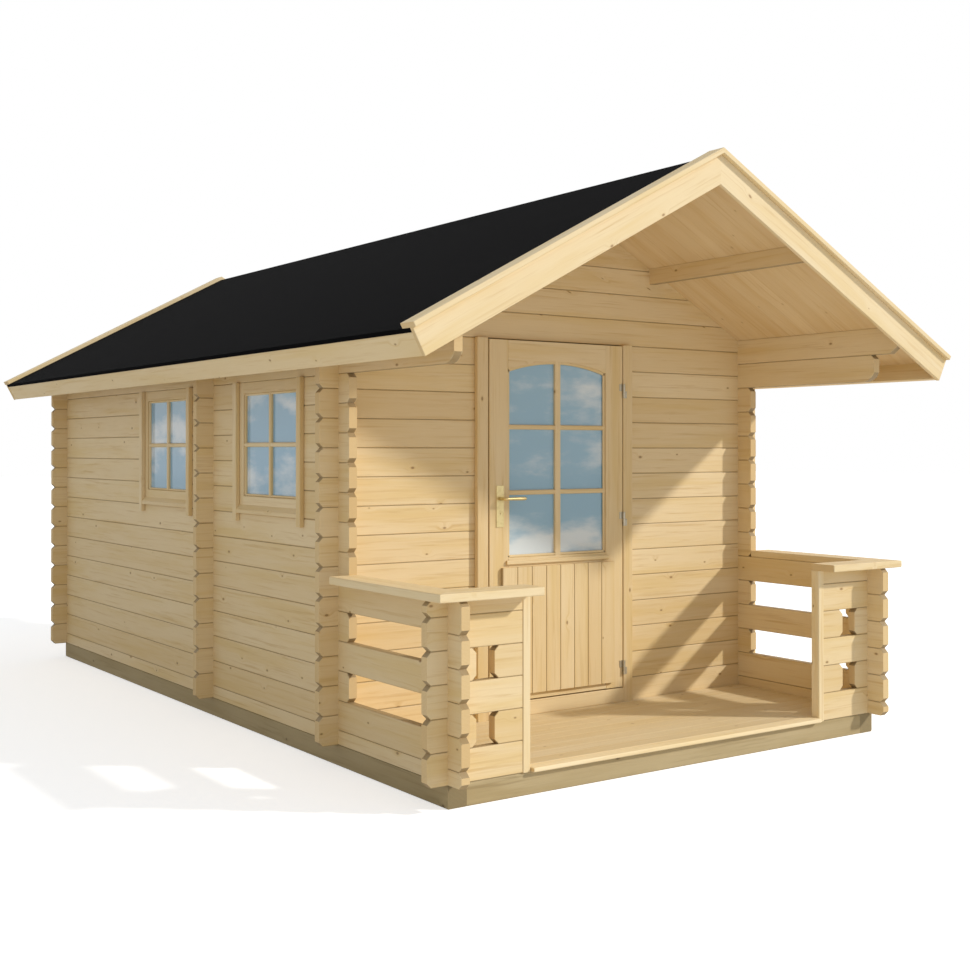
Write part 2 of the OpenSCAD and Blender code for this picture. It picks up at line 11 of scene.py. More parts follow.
import bmesh
import bpy
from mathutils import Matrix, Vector


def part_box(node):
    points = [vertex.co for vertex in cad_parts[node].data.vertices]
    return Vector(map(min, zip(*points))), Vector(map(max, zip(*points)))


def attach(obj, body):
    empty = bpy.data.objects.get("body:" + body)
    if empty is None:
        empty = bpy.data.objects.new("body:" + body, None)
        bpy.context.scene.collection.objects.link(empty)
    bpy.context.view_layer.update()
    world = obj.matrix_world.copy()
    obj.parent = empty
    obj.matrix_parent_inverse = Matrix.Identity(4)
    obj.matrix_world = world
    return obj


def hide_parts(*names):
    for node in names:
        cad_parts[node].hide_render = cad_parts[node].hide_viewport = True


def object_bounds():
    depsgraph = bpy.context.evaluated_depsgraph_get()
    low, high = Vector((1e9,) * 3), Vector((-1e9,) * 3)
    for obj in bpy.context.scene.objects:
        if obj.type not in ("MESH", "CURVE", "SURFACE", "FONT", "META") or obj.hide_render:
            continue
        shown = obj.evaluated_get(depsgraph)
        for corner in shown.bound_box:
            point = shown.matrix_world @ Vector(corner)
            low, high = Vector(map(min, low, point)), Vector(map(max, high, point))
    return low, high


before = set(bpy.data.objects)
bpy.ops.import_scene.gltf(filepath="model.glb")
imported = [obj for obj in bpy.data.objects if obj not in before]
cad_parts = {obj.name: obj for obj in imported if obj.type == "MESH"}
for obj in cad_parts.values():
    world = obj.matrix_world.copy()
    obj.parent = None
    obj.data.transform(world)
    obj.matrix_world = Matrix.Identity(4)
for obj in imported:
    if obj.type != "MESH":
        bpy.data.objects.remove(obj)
cad_lo, cad_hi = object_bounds()
print("frame holds", len(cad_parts), "nodes; the box is", [round(v, 3) for v in cad_hi - cad_lo])

# %% [markdown]
# ## Measures
# The walls' middle lines, the height of a course of logs and the height of the ridge are read from the boxes
# of the CAD nodes. The roof's slope, and small cuts that no box can show, are named here. Lengths are in
# metres.


# %% Read the main measures
def span(node, axis):
    """Where a node starts and ends along one axis."""
    lo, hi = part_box(node)
    return lo[axis], hi[axis]


def middle(node, axis):
    return sum(span(node, axis)) / 2


BASE_H = span("base_side_timbers", 2)[1]
DOOR_HEAD = span("front_wall_left", 2)[1]
COURSES = 14
LOG_H = (DOOR_HEAD - BASE_H) / COURSES
LOG_T = span("left_wall", 0)[1] - span("left_wall", 0)[0]
SIDE_X = middle("right_wall", 0)
IN_X, OUT_X = SIDE_X - LOG_T / 2, SIDE_X + LOG_T / 2
TIP_X = -span("front_wall_left", 0)[0]
LOG_END = TIP_X - OUT_X
RAIL_Y, FRONT_Y = middle("left_front_rail", 1), middle("front_gable", 1)
PART_Y, REAR_Y = middle("partition_gable", 1), middle("rear_wall", 1)
WALL_TIP, WALL_END = span("left_wall", 1)
END_CUT, GROOVE, ROOF_SEAM = 0.020, 0.004, 0.0006
PITCH = math.radians(28)
SLOPE = math.tan(PITCH)
RIDGE_Z = span("ridge_purlin", 2)[1]
DECK_Y0, DECK_Y1 = span("left_roof_boards", 1)
print("course", round(LOG_H, 4), "log", round(LOG_T, 4))
print("walls at", [round(v, 3) for v in (RAIL_Y, FRONT_Y, PART_Y, REAR_Y)])

# %% [markdown]
# ## Shader sums
# A finish is a small sum over the surface: streaks plus knots, times a tone. Writing those sums as Python
# expressions keeps them readable, so one class wraps a socket and turns + - * / into Math nodes, and one
# method makes every other node from its type, its settings and its inputs.


# %% A socket that can be used in sums
class Value:
    """One output of a node. Ordinary sums on it add Math nodes."""

    def __init__(self, finish, socket):
        self.finish, self.socket = finish, socket

    def sum(self, operation, *others):
        return self.finish.node("ShaderNodeMath", {"operation": operation}, dict(enumerate((self, *others))))

    def __add__(self, other):
        return self.sum("ADD", other)

    def __sub__(self, other):
        return self.sum("SUBTRACT", other)

    def __mul__(self, other):
        return self.sum("MULTIPLY", other)

    def __truediv__(self, other):
        return self.sum("DIVIDE", other)

    def __rsub__(self, other):
        return (self * -1) + other

    __radd__, __rmul__ = __add__, __mul__

    def fade(self, start, end, low=0.0, high=1.0):
        """Goes smoothly from low at start to high at end."""
        return self.finish.node("ShaderNodeMapRange", {"interpolation_type": "SMOOTHSTEP"},
                                {0: self, 1: start, 2: end, 3: low, 4: high})


# %% A finish and its nodes
class Finish:
    """A material under construction."""

    def __init__(self, name):
        self.material = bpy.data.materials.new(name)
        self.material.use_nodes = True
        self.tree = self.material.node_tree
        self.tree.nodes.clear()
        self.end = self.tree.nodes.new("ShaderNodeOutputMaterial")

    def node(self, kind, settings=None, inputs=None, out=0):
        made = self.tree.nodes.new(kind)
        for key, value in (settings or {}).items():
            setattr(made, key, value)
        for key, value in (inputs or {}).items():
            if isinstance(value, Value):
                self.tree.links.new(value.socket, made.inputs[key])
            else:
                made.inputs[key].default_value = value
        return Value(self, made.outputs[out])

    def mix(self, factor, a, b):
        """A mix of two colours."""
        settings = {"data_type": "RGBA", "clamp_factor": True}
        return self.node("ShaderNodeMix", settings, {0: factor, 6: a, 7: b}, out=2)

    def stretch(self, vector, x, y, z):
        """The same place with each direction drawn out or pressed together."""
        return self.node("ShaderNodeVectorMath", {"operation": "MULTIPLY"}, {0: vector, 1: (x, y, z)})

    def surface(self, inputs):
        shader = self.node("ShaderNodeBsdfPrincipled", None, inputs)
        self.tree.links.new(shader.socket, self.end.inputs["Surface"])
        return self.material


def rgb(r, g, b):
    """A colour picked in 0 to 255 steps, turned into the linear light that shaders use."""
    lin = [c / 255 / 12.92 if c <= 10 else ((c / 255 + 0.055) / 1.055) ** 2.4 for c in (r, g, b)]
    return (*lin, 1.0)


# %% [markdown]
# ## Planed spruce
# On the real cabin each log is pale spruce with long yellow streaks, a few small brown knots and a dark line
# where two logs meet. Noise in world space would run through every board alike. So each board carries its own
# grain directions as an attribute named grain (along, across, through), a tone of its own, and a joint value
# that is 1 at the bottom of a groove. The finish only reads those.


# %% The wood finishes
def wood(name, pale, warm, deep, knot, joint_dark=0.62, knots=1.0, rough=0.56):
    f = Finish(name)
    grain = f.node("ShaderNodeAttribute", {"attribute_name": "grain"}, out=1)
    tone = f.node("ShaderNodeAttribute", {"attribute_name": "tone"}, out=2)
    joint = f.node("ShaderNodeAttribute", {"attribute_name": "joint"}, out=2)
    # knots: about one in two cells of a Voronoi pattern holds one, and the grain bends round it
    cells = f.stretch(grain, 2.9, 5.2, 0.0)
    plane, spread = {"voronoi_dimensions": "2D"}, {"Vector": cells, "Scale": 1.0, "Randomness": 0.62}
    far = f.node("ShaderNodeTexVoronoi", plane, spread)
    chance = f.node("ShaderNodeTexVoronoi", plane, spread, out=1)
    dice = f.node("ShaderNodeSeparateColor", None, {0: chance})
    size = dice * 0.026 + 0.006
    here = dice.fade(0.42, 0.50) * knots
    core = (size * 1.2 - far).fade(0.0, 0.016) * here
    rim = (size * 2.1 - far).fade(0.0, 0.03) * here
    halo = (0.17 - far).fade(0.0, 0.16) * here
    bend = f.node("ShaderNodeCombineXYZ", None, {0: halo * 0.09, 1: halo * 0.022, 2: 0.0})
    bent = f.node("ShaderNodeVectorMath", {"operation": "ADD"}, {0: grain, 1: bend})
    broad = f.node("ShaderNodeTexNoise", None, {"Vector": f.stretch(bent, 1.1, 13, 13), "Scale": 1.0,
                                                "Detail": 3.0, "Roughness": 0.55})
    streak = f.node("ShaderNodeTexNoise", None, {"Vector": f.stretch(bent, 2.2, 62, 62), "Scale": 1.0,
                                                 "Detail": 4.0, "Roughness": 0.6, "Distortion": 0.35})
    fibre = f.node("ShaderNodeTexNoise", None, {"Vector": f.stretch(bent, 11, 520, 520), "Scale": 1.0,
                                                "Detail": 2.0})
    blotch = f.node("ShaderNodeTexNoise", None, {"Vector": f.stretch(grain, 2.0, 3.5, 3.5), "Scale": 1.0,
                                                 "Detail": 2.0})
    colour = f.mix(broad.fade(0.42, 0.72), pale, warm)
    colour = f.mix(streak.fade(0.50, 0.78) * 0.62, colour, deep)
    colour = f.mix(blotch.fade(0.35, 0.75) * 0.30, colour, warm)
    colour = f.mix(tone * 0.42, colour, f.mix(0.5, warm, deep))
    colour = f.mix(fibre.fade(0.35, 0.75) * 0.10, colour, deep)
    colour = f.mix(rim * 0.30, colour, deep)
    colour = f.mix(core * 0.62, colour, knot)
    colour = f.mix(joint * joint_dark, colour, (deep[0] * 0.28, deep[1] * 0.24, deep[2] * 0.2, 1))
    height = (fibre * 0.35 + streak * 0.5) - core * 0.5
    bump = f.node("ShaderNodeBump", None, {"Strength": 0.22, "Distance": 0.0012, "Height": height})
    dull = streak * 0.12 + (rough - 0.04) - core * 0.1
    return f.surface({"Base Color": colour, "Roughness": dull, "Normal": bump, "Specular IOR Level": 0.32})


def end_grain(name, light, dark):
    """The sawn end of a log: growth rings round a pith that lies near one face, and fine saw marks."""
    f = Finish(name)
    grain = f.node("ShaderNodeAttribute", {"attribute_name": "grain"}, out=1)
    tone = f.node("ShaderNodeAttribute", {"attribute_name": "tone"}, out=2)
    across = f.stretch(grain, 0.0, 1.0, 1.0)
    wobble = f.node("ShaderNodeTexNoise", None, {"Vector": across, "Scale": 24.0, "Detail": 2.0})
    out = f.node("ShaderNodeVectorMath", {"operation": "LENGTH"}, {0: across}, out=1)
    rings = ((out * 1250 + wobble * 7).sum("SINE") * 0.5) + 0.5
    speck = f.node("ShaderNodeTexNoise", None, {"Vector": f.stretch(across, 1, 420, 420), "Scale": 1.0,
                                                "Detail": 2.0})
    colour = f.mix(rings * 0.42, light, dark)
    colour = f.mix(speck.fade(0.4, 0.8) * 0.3, colour, dark)
    colour = f.mix(tone * 0.4, colour, dark)
    bump = f.node("ShaderNodeBump", None, {"Strength": 0.3, "Distance": 0.001, "Height": rings * 0.4 + speck})
    return f.surface({"Base Color": colour, "Roughness": speck * 0.1 + 0.66, "Normal": bump,
                      "Specular IOR Level": 0.25})


SPRUCE = wood("planed_spruce", rgb(236, 214, 172), rgb(228, 201, 146), rgb(198, 160, 98), rgb(120, 78, 38))
PALE = wood("pale_spruce_boards", rgb(240, 220, 180), rgb(233, 208, 156), rgb(205, 169, 108),
            rgb(124, 82, 42))
CEILING = wood("roof_boards", rgb(233, 208, 164), rgb(224, 194, 142), rgb(199, 161, 104),
               rgb(128, 86, 46), knots=0.5)
# The floor boards' colours are their pale wood, lifted further as painted sunlight on the floor.
SUNLIT_DECKING = wood("floor_boards_painted_sun", rgb(250, 233, 196), rgb(244, 222, 174), rgb(220, 188, 130),
               rgb(140, 96, 52), joint_dark=0.4, knots=0.7)
TREATED = wood("treated_base_timber", rgb(190, 172, 134), rgb(172, 152, 110), rgb(134, 114, 76),
               rgb(84, 62, 38), rough=0.7)
ENDS = end_grain("sawn_log_ends", rgb(232, 206, 158), rgb(198, 162, 104))
BASE_ENDS = end_grain("sawn_base_ends", rgb(165, 148, 112), rgb(112, 96, 64))
print("wood finishes", [m.name for m in (SPRUCE, PALE, CEILING, SUNLIT_DECKING, TREATED, ENDS, BASE_ENDS)])

# %% [markdown]
# ## Felt, glass and metal
# Roofing felt is matt, nearly black and sanded with fine grit, laid in overlapping strips. Glass is thin, and
# its colour is a painted reflection of blue sky and white cloud, more sky than room. The lever and its plates
# are satin metal in a pale brass tone, and the hinges are zinc plated.


# %% The other finishes
def place_of(f):
    return f.node("ShaderNodeTexCoord", None, None, out=3)


def roofing_felt():
    f = Finish("roofing_felt")
    place = place_of(f)
    grit = f.node("ShaderNodeTexNoise", None, {"Vector": place, "Scale": 900.0, "Detail": 2.0})
    cloud = f.node("ShaderNodeTexNoise", None, {"Vector": place, "Scale": 3.0, "Detail": 4.0})
    out = f.node("ShaderNodeSeparateXYZ", None, {0: place})
    strip = ((out.sum("ABSOLUTE") / 0.47).sum("FRACT")).fade(0.0, 0.012)
    colour = f.mix(grit.fade(0.35, 0.75), rgb(6, 6, 7), rgb(20, 20, 21))
    colour = f.mix(cloud.fade(0.4, 0.75) * 0.35, colour, rgb(15, 15, 16))
    bump = f.node("ShaderNodeBump", None, {"Strength": 0.35, "Distance": 0.002, "Height": grit * 0.3 + strip})
    return f.surface({"Base Color": colour, "Roughness": grit * 0.15 + 0.82, "Normal": bump,
                      "Specular IOR Level": 0.02})


def window_glass():
    f = Finish("window_glass")
    place = f.stretch(place_of(f), 1.6, 1.6, 4.4)
    cloud = f.node("ShaderNodeTexNoise", None, {"Vector": place, "Scale": 1.0, "Detail": 5.0,
                                                "Roughness": 0.55})
    haze = f.node("ShaderNodeTexNoise", None, {"Vector": place, "Scale": 30.0, "Detail": 2.0})
    # painted reflection: the colour runs from sky blue to cloud white by a cloud noise, and the glass is a
    # little more opaque where the painted cloud is whiter
    colour = f.mix(cloud.fade(0.46, 0.66), rgb(152, 190, 212), rgb(222, 230, 232))
    return f.surface({"Base Color": colour, "Roughness": haze * 0.04 + 0.04,
                      "Alpha": cloud.fade(0.4, 0.7, 0.93, 0.97), "IOR": 1.5, "Specular IOR Level": 0.7})


def metal(name, light, dark, rough):
    f = Finish(name)
    place = place_of(f)
    brushed = f.node("ShaderNodeTexNoise", None, {"Vector": f.stretch(place, 30, 30, 900), "Scale": 1.0,
                                                  "Detail": 2.0})
    worn = f.node("ShaderNodeTexNoise", None, {"Vector": place, "Scale": 40.0, "Detail": 3.0})
    colour = f.mix(worn.fade(0.45, 0.8) * 0.6, light, dark)
    bump = f.node("ShaderNodeBump", None, {"Strength": 0.08, "Distance": 0.0004, "Height": brushed})
    dull = brushed * 0.12 + worn * 0.08 + rough
    return f.surface({"Base Color": colour, "Metallic": 0.9, "Roughness": dull, "Normal": bump})


FELT = roofing_felt()
SKY_PAINTED_GLASS = window_glass()
BRASS = metal("pale_satin_brass", rgb(226, 206, 150), rgb(190, 168, 112), 0.26)
ZINC = metal("zinc_plate", rgb(196, 188, 168), rgb(150, 142, 122), 0.34)
print("other finishes", [m.name for m in (FELT, SKY_PAINTED_GLASS, BRASS, ZINC)])

# %% [markdown]
# ## One builder for every log and board
# A log or board is a section drawn out along its length. It is made as rings of corners, so its edges are
# really bevelled, and each corner keeps its place in the board's own grain. Many boards go into one stack,
# which becomes one piece, and a seeded random number gives each board its tone and its stretch of tree.


# %% Sections
def log_section(h, groove=GROOVE, levels=()):
    """A log on edge: (up, through, joint) round the section, with a rounded groove at top and bottom."""
    g = min(groove, h / 4)
    up = [(0, g, 1), (0.4 * g, 0.35 * g, 0.45), (1.15 * g, 0, 0)]
    up += [(level, 0, 0) for level in levels]
    up += [(h - 1.15 * g, 0, 0), (h - 0.4 * g, 0.35 * g, 0.45), (h, g, 1)]
    return [(z, LOG_T / 2 - d, j) for z, d, j in up] + [(z, d - LOG_T / 2, j) for z, d, j in reversed(up)]


def board_section(w, t, bevel=0.0015, joint=0.0):
    """A plain board: width w, thickness t, with bevelled edges."""
    b = bevel
    return [(0, t / 2 - b, joint), (b, t / 2, 0), (w - b, t / 2, 0), (w, t / 2 - b, joint),
            (w, b - t / 2, joint), (w - b, -t / 2, 0), (b, -t / 2, 0), (0, b - t / 2, joint)]


# %% The stack of boards
class Stack:
    def __init__(self):
        self.points, self.faces, self.grain, self.tone, self.joint, self.ends = [], [], [], [], [], []

    def add(self, section, stations, place, key):
        """Draws a section through stations (along, cut below, cut above).

        place puts (along, up, through) in the frame.
        """
        luck = random.Random(str(key))
        shift, lift, tone = luck.uniform(0, 60), luck.uniform(0, 30), luck.random()
        height = max(p[0] for p in section)
        on_edge = 2 * max(p[1] for p in section) > height
        first, n = len(self.points), len(section)
        for along, below, above in stations:
            for up, through, joint in section:
                level = below + up * (height - below - above) / height
                self.points.append(place(along, level, through))
                if on_edge:
                    self.grain.append((along + shift, through + lift, level))
                else:
                    self.grain.append((along + shift, level + lift, through))
                self.tone.append(tone)
                self.joint.append(joint)
        for i in range(len(stations) - 1):
            a = first + i * n
            for k in range(n):
                m = (k + 1) % n
                self.faces.append((a + k, a + m, a + n + m, a + n + k))
                self.ends.append(0)
        last = first + (len(stations) - 1) * n
        self.faces += [tuple(range(first + n - 1, first - 1, -1)), tuple(range(last, last + n))]
        self.ends += [1, 1]

    def outline(self, points, y0, y1, key, along=2):
        """A flat board cut to (x, z) corners, from y0 to y1, with its grain up (2) or across (0)."""
        luck = random.Random(str(key))
        shift, lift, tone = luck.uniform(0, 60), luck.uniform(0, 30), luck.random()
        first, n = len(self.points), len(points)
        for y in (y0, y1):
            for x, z in points:
                self.points.append(Vector((x, y, z)))
                s, a = (z, x) if along == 2 else (x, z)
                self.grain.append((s + shift, a + lift, y))
                self.tone.append(tone)
                self.joint.append(0.0)
        for k in range(n):
            m = (k + 1) % n
            self.faces.append((first + k, first + m, first + n + m, first + n + k))
            self.ends.append(0)
        self.faces += [tuple(range(first + n - 1, first - 1, -1)), tuple(range(first + n, first + 2 * n))]
        self.ends += [0, 0]


# %% From a stack to a piece
def finish_mesh(name, stack, finish, ends):
    mesh = bpy.data.meshes.new(name)
    mesh.from_pydata([tuple(p) for p in stack.points], [], stack.faces)
    mesh.materials.append(finish)
    mesh.materials.append(ends)
    mesh.polygons.foreach_set("material_index", stack.ends)
    grain = [c for g in stack.grain for c in g]
    mesh.attributes.new("grain", "FLOAT_VECTOR", "POINT").data.foreach_set("vector", grain)
    mesh.attributes.new("tone", "FLOAT", "POINT").data.foreach_set("value", stack.tone)
    mesh.attributes.new("joint", "FLOAT", "POINT").data.foreach_set("value", stack.joint)
    shape = bmesh.new()
    shape.from_mesh(mesh)
    bmesh.ops.recalc_face_normals(shape, faces=shape.faces)
    shape.to_mesh(mesh)
    shape.free()
    mesh.update()
    return mesh


def piece(name, stack, nodes, body="cabin", finish=SPRUCE, ends=ENDS):
    """Puts a stack in the scene in place of the CAD nodes it stands for."""
    obj = bpy.data.objects.new(name, finish_mesh(name, stack, finish, ends))
    bpy.context.scene.collection.objects.link(obj)
    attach(obj, body)
    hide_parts(*nodes)
    print(name, "-", len(stack.points), "corners")


# %% [markdown]
# ## Logs along X and along Y
# Free log ends are bevelled top and bottom. Where a log meets a door frame, a window or another length of the
# same log, its end is square.


# %% Logs
def ends_of(s0, s1, cut0, cut1):
    stations = [(s0, cut0, cut0)] + ([(s0 + cut0, 0, 0)] if cut0 else [])
    return stations + ([(s1 - cut1, 0, 0)] if cut1 else []) + [(s1, cut1, cut1)]


def log_x(stack, x0, x1, z0, z1, y, cut0=END_CUT, cut1=END_CUT, key=""):
    def place(s, a, b):
        return Vector((s, y + b, z0 + a))

    stack.add(log_section(z1 - z0), ends_of(x0, x1, cut0, cut1), place, ("x", y, z0, key))


def log_y(stack, y0, y1, z0, z1, x, cut0=END_CUT, cut1=END_CUT, key=""):
    def place(s, a, b):
        return Vector((x - b, s, z0 + a))

    stack.add(log_section(z1 - z0), ends_of(y0, y1, cut0, cut1), place, ("y", round(x), z0, key))


def full(k):
    return BASE_H + k * LOG_H


def half(k):
    return BASE_H + (k + 0.5) * LOG_H


def roof_z(x):
    return RIDGE_Z - abs(x) * SLOPE


# %% [markdown]
# ## Base timbers
# The cabin stands on treated square timbers, greyer and browner than the logs. Two run the whole depth and
# seven lie between them.


# %% Base
def beam(stack, p0, p1, axis, key, bevel=0.004, joint=0.0):
    """A straight board that fills the box from p0 to p1, with its grain along one axis."""
    p0, p1 = Vector(p0), Vector(p1)
    up = 2 if axis != 2 else 0
    through = 3 - axis - up
    w, t = p1[up] - p0[up], p1[through] - p0[through]
    middle_through = (p0[through] + p1[through]) / 2

    def place(s, a, b):
        point = Vector((0, 0, 0))
        point[axis], point[up], point[through] = s, p0[up] + a, middle_through + b
        return point

    c = bevel * 0.6
    stations = [(p0[axis], c, c), (p0[axis] + c, 0, 0), (p1[axis] - c, 0, 0), (p1[axis], c, c)]
    stack.add(board_section(w, t, bevel, joint), stations, place, key)


lo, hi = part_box("base_side_timbers")
sides, BASE_W = Stack(), 0.090
for x0, x1 in ((lo.x, lo.x + BASE_W), (hi.x - BASE_W, hi.x)):
    beam(sides, (x0, lo.y, 0), (x1, hi.y, hi.z), 1, ("base", x0))
piece("base_timbers_along", sides, ["base_side_timbers"], finish=TREATED, ends=BASE_ENDS)
lo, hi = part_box("base_cross_timbers")
last = hi.y - BASE_W
starts = [lo.y, FRONT_Y - BASE_W / 2, (FRONT_Y + PART_Y - BASE_W) / 2, PART_Y - BASE_W / 2,
          PART_Y + (last - PART_Y) / 3, PART_Y + (last - PART_Y) * 2 / 3, last]
across = Stack()
for y in starts:
    beam(across, (lo.x, y, 0), (hi.x, y + BASE_W, hi.z), 0, ("base", y))
piece("base_timbers_across", across, ["base_cross_timbers"], finish=TREATED, ends=BASE_ENDS)

# %% [markdown]
# ## Floors
# Floor boards run across the cabin. On the porch they start with a nosing board at the entrance, which stands
# out over the base.


# %% Floor boards
FLOOR_BOARD_W, NOSING_HALF, NOSING_D, WALL_GAP = 0.086, 0.872, 0.027, 0.023


def floor_boards(stack, x, y0, y1, z0, z1, key):
    count = round((y1 - y0) / FLOOR_BOARD_W)
    width = (y1 - y0) / count
    for k in range(count):
        beam(stack, (-x, y0 + k * width, z0), (x, y0 + (k + 1) * width, z1), 0, (key, k), 0.0012, 0.6)
    return count


lo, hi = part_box("porch_floor")
boards = Stack()
slab_y0 = RAIL_Y + NOSING_D
beam(boards, (-NOSING_HALF, lo.y, lo.z), (NOSING_HALF, slab_y0 - 0.0005, hi.z), 0, "nosing", 0.004)
print("porch boards", floor_boards(boards, hi.x, slab_y0, hi.y, lo.z, hi.z, "porch"))
piece("porch_floor_row", boards, ["porch_floor"], finish=SUNLIT_DECKING)
lo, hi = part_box("room_floors")
boards = Stack()
for y0, y1, key in ((lo.y, PART_Y - WALL_GAP, "front"), (PART_Y + WALL_GAP, hi.y, "back")):
    print(key, "room boards", floor_boards(boards, hi.x, y0, y1, lo.z, hi.z, key))
piece("room_floor_rows", boards, ["room_floors"], finish=SUNLIT_DECKING)

# %% [markdown]
# ## Side walls
# A side wall starts with half a log, so that its joints lie halfway up the logs of the walls that cross it.
# On the left two windows interrupt the courses between their foot and their head. The half log and three
# courses run on over the porch as its rail, so their front ends are square here and the rail goes on from
# them.

# %% Side walls
PANE_W, WIN_HALF = 0.606, 0.340
panes_y0, panes_y1 = span("window_glass", 1)
WIN_Y = [middle("window_glass", 1) + side * (panes_y1 - panes_y0 - PANE_W) / 2 for side in (-1, 1)]
WIN_FOOT, WIN_HEAD = span("window_frames", 2)
RAIL_COURSES = (0, 1, 3, 5)


def side_wall(x, windows):
    stack = Stack()
    for k in range(COURSES - 1):
        z0, z1 = (BASE_H, half(0)) if k == 0 else (half(k - 1), half(k))
        cuts = [WALL_TIP]
        for y in windows if z0 > WIN_FOOT - 0.01 else []:
            cuts += [y - WIN_HALF, y + WIN_HALF]
        cuts.append(WALL_END)
        most = (z1 - z0) / 3
        for i in range(0, len(cuts), 2):
            cut0 = END_CUT if i == 0 and k not in RAIL_COURSES else 0
            cut1 = END_CUT if i == len(cuts) - 2 else 0
            log_y(stack, cuts[i], cuts[i + 1], z0, z1, x, min(cut0, most), min(cut1, most), i if i else "")
    return stack


piece("left_wall_logs", side_wall(-SIDE_X, WIN_Y), ["left_wall"])
piece("right_wall_logs", side_wall(SIDE_X, []), ["right_wall"])
print("windows at", [round(y, 3) for y in WIN_Y])

# %% [markdown]
# ## Logs under the eaves
# The top two logs of each side wall run out over the porch and past the rear wall, and carry the roof. Their
# ends are cut back below like brackets, and the upper one is planed to the slope of the roof.


# %% Eaves logs
def eaves_logs(x):
    stack = Stack()
    low, mid, top = WIN_HEAD, WIN_HEAD + LOG_H, WIN_HEAD + 2 * LOG_H
    y0, y1, c = RAIL_Y - 0.065, REAR_Y + 0.205, END_CUT

    def place_at(z):
        return lambda s, a, b: Vector((x - b, s, min(z + a, roof_z(x - b) - ROOF_SEAM)))

    nose = [(0, 0.045, c), (0.008, 0.030, c * 0.55), (0.02, 0.017, 0), (0.038, 0.006, 0), (0.06, 0, 0)]
    stations = [(y0 + s, a, b) for s, a, b in nose] + [(y1 - s, a, b) for s, a, b in reversed(nose)]
    stack.add(log_section(LOG_H), stations, place_at(low), ("eaves low", x))
    foot = [(0, 0.045, 0), (0.06, 0, 0)]
    stations = [(DECK_Y0 + s, a, b) for s, a, b in foot] + [(DECK_Y1 - s, a, b) for s, a, b in reversed(foot)]
    stack.add(log_section(LOG_H, levels=(0.07, 0.09, 0.11)), stations, place_at(mid), ("eaves high", x))
    return stack


piece("left_eaves_log_pair", eaves_logs(-SIDE_X), ["left_eaves_logs"])
piece("right_eaves_log_pair", eaves_logs(SIDE_X), ["right_eaves_logs"])

# %% [markdown]
# ## Cross walls and gables
# The front wall, the partition and the rear wall are full logs from the base up to the head of the door.
# Above that, each gable log is cut to the slope of the roof at both ends.


# %% Cross walls
def cross_logs(stack, y, x0, x1, cut0=END_CUT, cut1=END_CUT):
    for k in range(COURSES):
        log_x(stack, x0, x1, full(k), full(k + 1), y, cut0, cut1)
    return stack


def gable_logs(stack, y):
    k, shoulder = COURSES, roof_z(IN_X)
    while full(k) < RIDGE_Z - 0.002:
        z0, z1 = full(k), min(full(k + 1), RIDGE_Z - 0.001)
        levels = [shoulder - z0] if z0 < shoulder < z1 else []

        def place(s, a, b):
            z = z0 + a
            return Vector((s * max(0.001, min(IN_X, (RIDGE_Z - z) / SLOPE - ROOF_SEAM)), y + b, z))

        stack.add(log_section(z1 - z0, levels=levels), [(-1, 0, 0), (1, 0, 0)], place, ("gable", y, k))
        k += 1
    return stack


door_in0, door_in1 = span("front_wall_left", 0)[1], span("front_wall_right", 0)[0]
piece("front_wall_left_logs", cross_logs(Stack(), FRONT_Y, -TIP_X, door_in0, END_CUT, 0), ["front_wall_left"])
piece("front_wall_right_logs", cross_logs(Stack(), FRONT_Y, door_in1, TIP_X, 0), ["front_wall_right"])
piece("front_gable_logs", gable_logs(Stack(), FRONT_Y), ["front_gable"])
inner0, inner1 = span("partition_left", 0)[1], span("partition_right", 0)[0]
piece("partition_left_logs", cross_logs(Stack(), PART_Y, -TIP_X, inner0, END_CUT, 0), ["partition_left"])
piece("partition_right_logs", cross_logs(Stack(), PART_Y, inner1, TIP_X, 0), ["partition_right"])
piece("partition_gable_logs", gable_logs(Stack(), PART_Y), ["partition_gable"])
piece("rear_wall_logs", gable_logs(cross_logs(Stack(), REAR_Y, -TIP_X, TIP_X), REAR_Y), ["rear_wall"])

# %% [markdown]
# ## Porch rails
# The rails are logs with every second course left out. At the corner and beside the posts short log ends fill
# the gaps, and their bevelled corners give the notched look.


# %% Rails
RAIL_TOP = span("left_side_rail", 2)[1]
CORNER_Y = span("left_side_rail", 1)[0]
PANEL_X = -span("left_front_rail", 0)[1]
STUB, RAIL_GAP = LOG_T + 2 * LOG_END, 0.09


def side_rail(x):
    stack = Stack()
    levels = [(BASE_H, half(0))] + [(half(k - 1), half(k)) for k in range(1, 6)]
    for k, (z0, z1) in enumerate(levels):
        if k in (2, 4):
            log_y(stack, CORNER_Y, CORNER_Y + STUB, z0, z1, x, key="stub")
        else:
            log_y(stack, CORNER_Y, WALL_TIP, z0, z1, x, min(END_CUT, (z1 - z0) / 3), 0)
    return stack


def front_rail(side):
    stack = Stack()
    gap_x = TIP_X - STUB
    for k in range(6):
        z0, z1 = full(k), min(full(k + 1), RAIL_TOP)
        if k in (1, 3):
            spans = [(gap_x, TIP_X, END_CUT, END_CUT), (PANEL_X, gap_x - RAIL_GAP, 0, END_CUT)]
        else:
            spans = [(PANEL_X, TIP_X, 0, min(END_CUT, (z1 - z0) / 3))]
        for x0, x1, c0, c1 in spans:
            if side < 0:
                log_x(stack, -x1, -x0, z0, z1, RAIL_Y, c1, c0, x0)
            else:
                log_x(stack, x0, x1, z0, z1, RAIL_Y, c0, c1, x0)
    return stack


